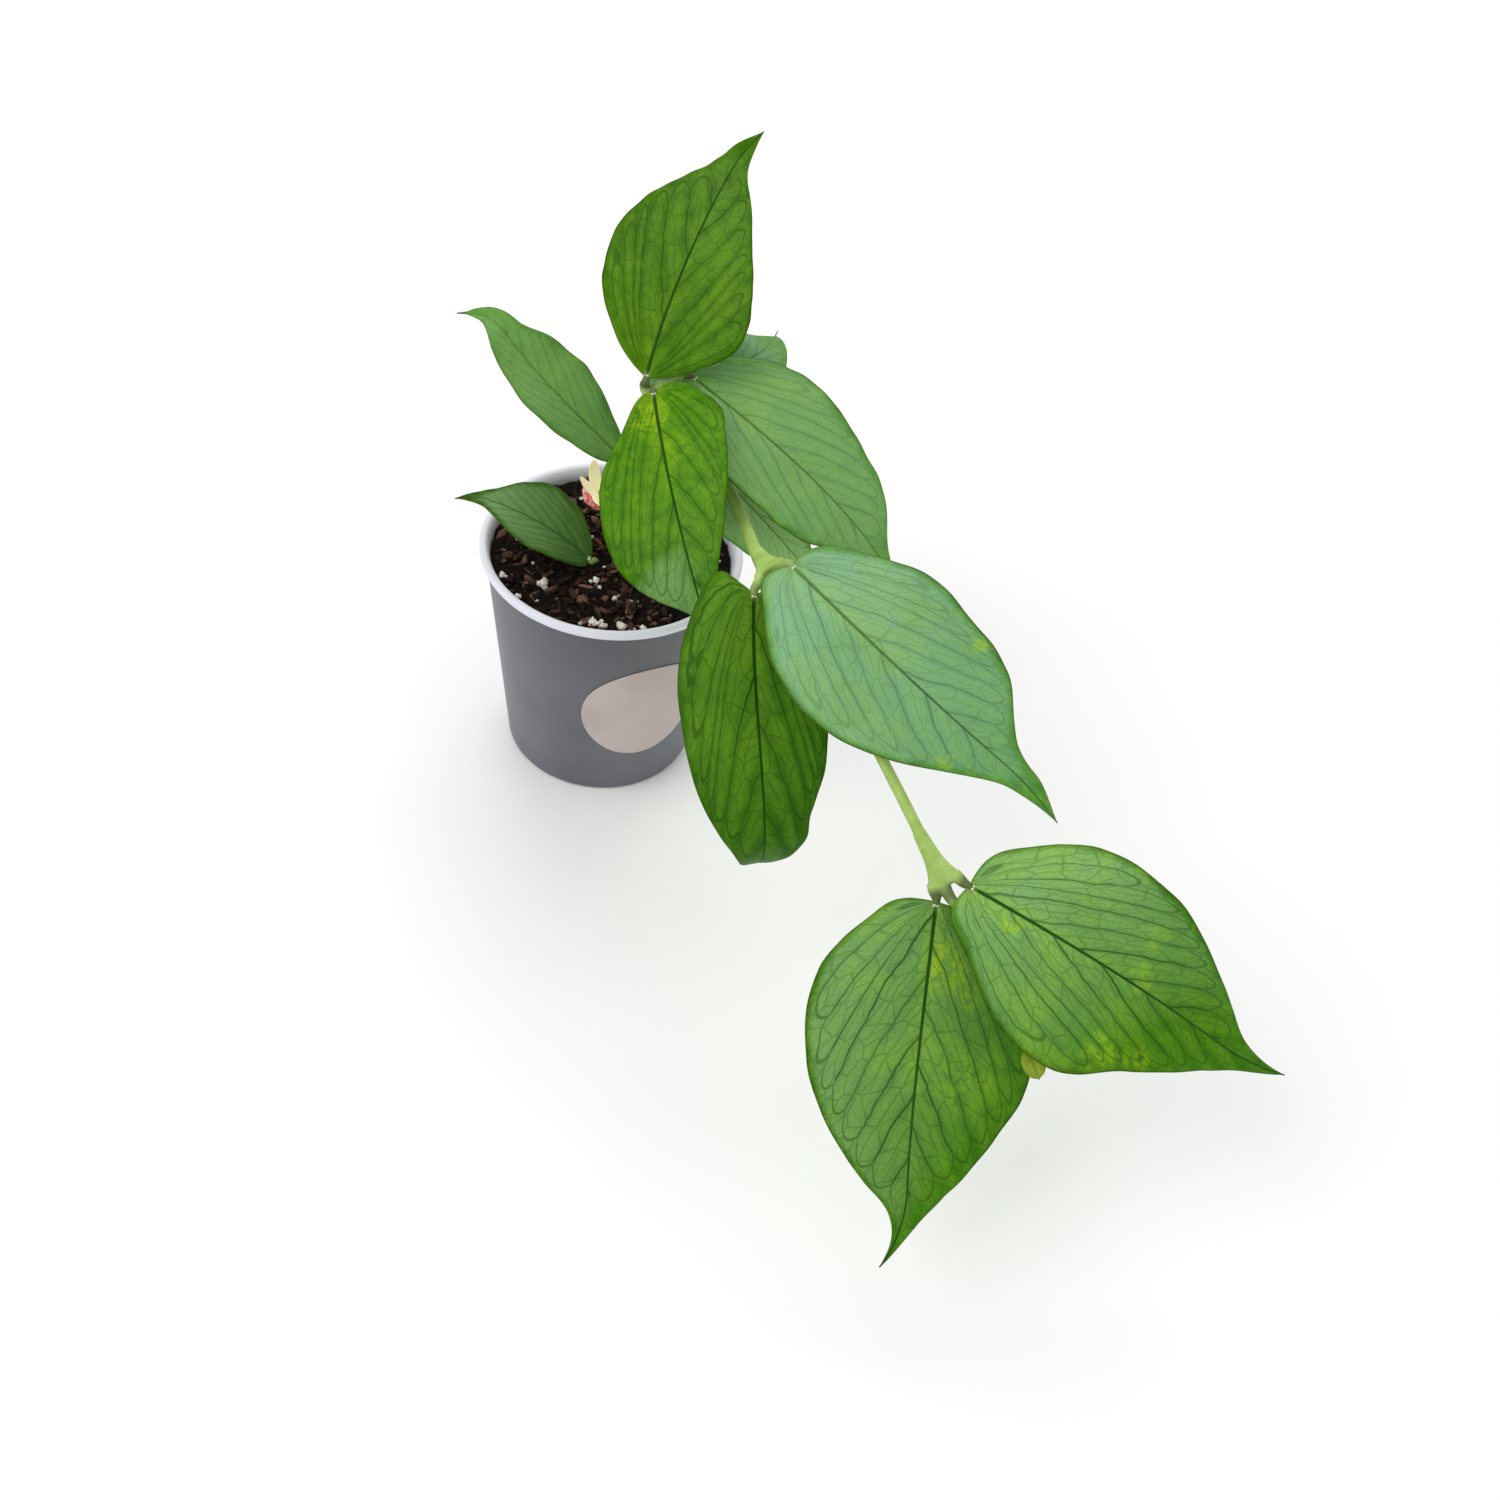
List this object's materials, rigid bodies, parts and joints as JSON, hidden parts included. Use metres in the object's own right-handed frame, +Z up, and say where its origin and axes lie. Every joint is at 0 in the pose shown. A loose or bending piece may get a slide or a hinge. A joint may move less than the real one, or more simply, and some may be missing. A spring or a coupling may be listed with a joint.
{
  "type": "potted climbing plant",
  "caption": "Fishtail hoya in a round tapered pot: a vine leans over the rim, with pairs of broad pointed leaves that show dark net veins.",
  "frame": {"origin": "centre of the pot's flat underside", "axes": "+Z up along the pot's axis, -Y towards the side that the vine leans to, +X to the right when looking along +Y"},
  "size_m": [0.2527, 0.2979, 0.2057],
  "materials": {
    "pot": "satin grey plastic, paler at the lip",
    "label": "blank matt sticker",
    "soil": "rough dark potting mix with bark and perlite",
    "stem": "smooth pale green stem",
    "leaf": "waxy green blade with dark veins",
    "young_leaf": "soft yellow-green blade",
    "petal": "soft cream petal",
    "corona": "waxy pink"
  },
  "bodies": {
    "root": {"pot": "pot", "label": "label", "soil": "soil", "vine_stem": "stem", "side_stem": "stem", "leaf_top": "leaf", "leaf_left": "leaf", "leaf_low": "leaf", "leaf_centre": "leaf", "leaf_right": "leaf", "leaf_back": "leaf", "leaf_under": "leaf", "leaf_front": "leaf", "leaf_broad": "leaf", "leaf_end_left": "leaf", "leaf_end_right": "leaf", "leaf_young": "young_leaf", "petals": "petal", "corona": "corona"}
  },
  "joints": []
}
